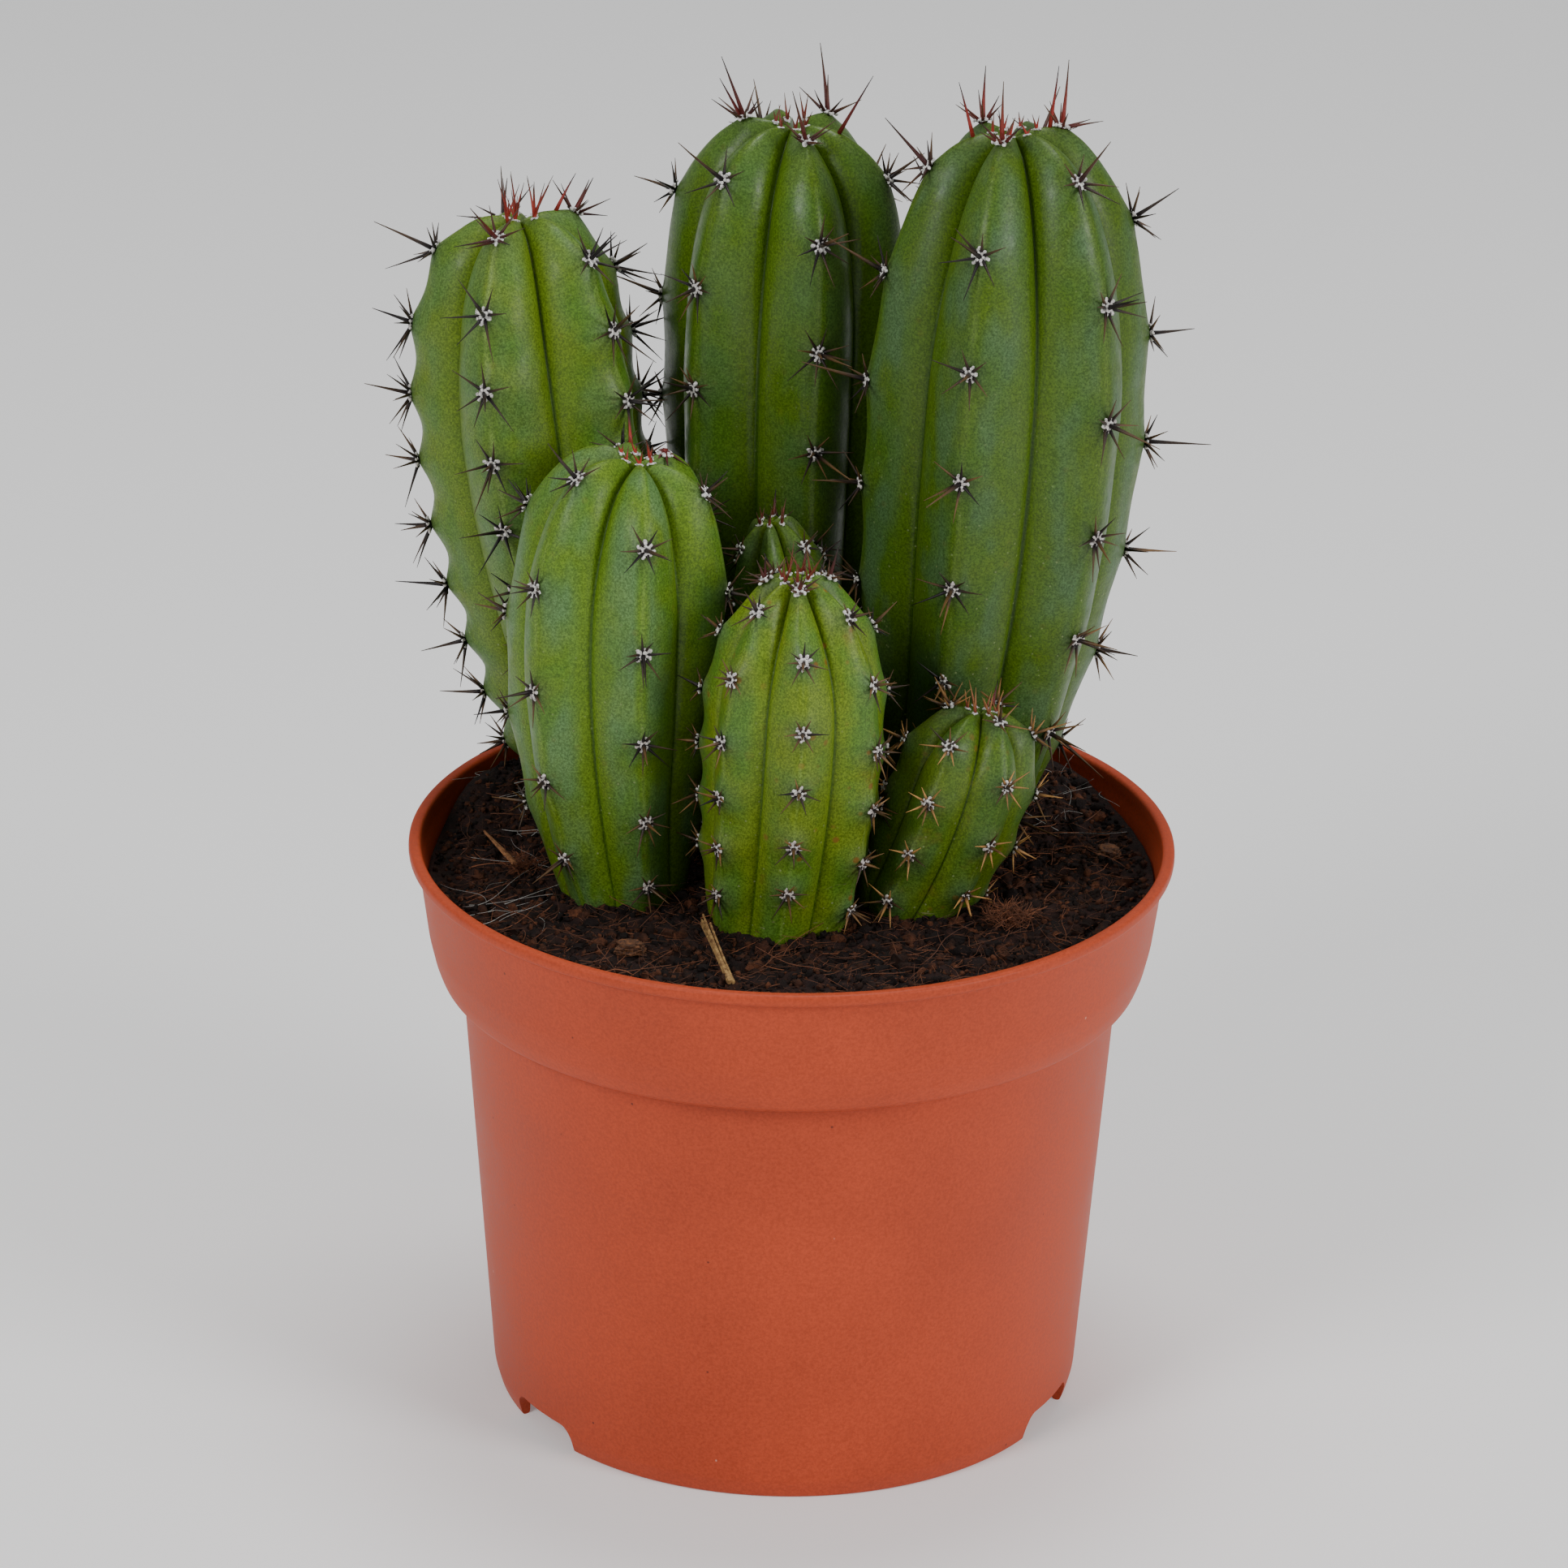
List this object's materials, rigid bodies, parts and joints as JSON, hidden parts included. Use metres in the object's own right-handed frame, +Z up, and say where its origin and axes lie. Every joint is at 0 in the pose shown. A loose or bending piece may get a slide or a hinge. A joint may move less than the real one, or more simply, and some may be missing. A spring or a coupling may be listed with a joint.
{
  "type": "potted tall cactus",
  "caption": "Clump of tall ribbed column cactus stems growing in peat in a round, tapered terracotta-coloured plastic grower's pot; stands free on its foot ring.",
  "frame": {"origin": "centre of the pot's foot, on the ground it stands on", "axes": "+Z up along the pot's axis; the plant's front, with the shortest stems, faces -Y; +X to the right seen from the front"},
  "size_m": [0.1201, 0.12, 0.2133],
  "materials": {
    "terracotta_plastic": "satin",
    "peat": "matte",
    "cactus_skin": "satin",
    "dry_stalk": "matte",
    "coir": "matte",
    "bark": "matte",
    "areole_felt": "matte",
    "spine": "satin"
  },
  "bodies": {
    "root": {"pot": "terracotta_plastic", "soil": "peat", "stem_left": "cactus_skin", "stem_back": "cactus_skin", "stem_right": "cactus_skin", "stem_front_left": "cactus_skin", "stem_front": "cactus_skin", "stem_front_right": "cactus_skin", "stem_middle": "cactus_skin", "straw_stalk": "dry_stalk", "dry_twig": "dry_stalk", "coir_tuft": "coir", "bark_chip_front": "bark", "bark_chip_right": "bark"}
  },
  "joints": []
}
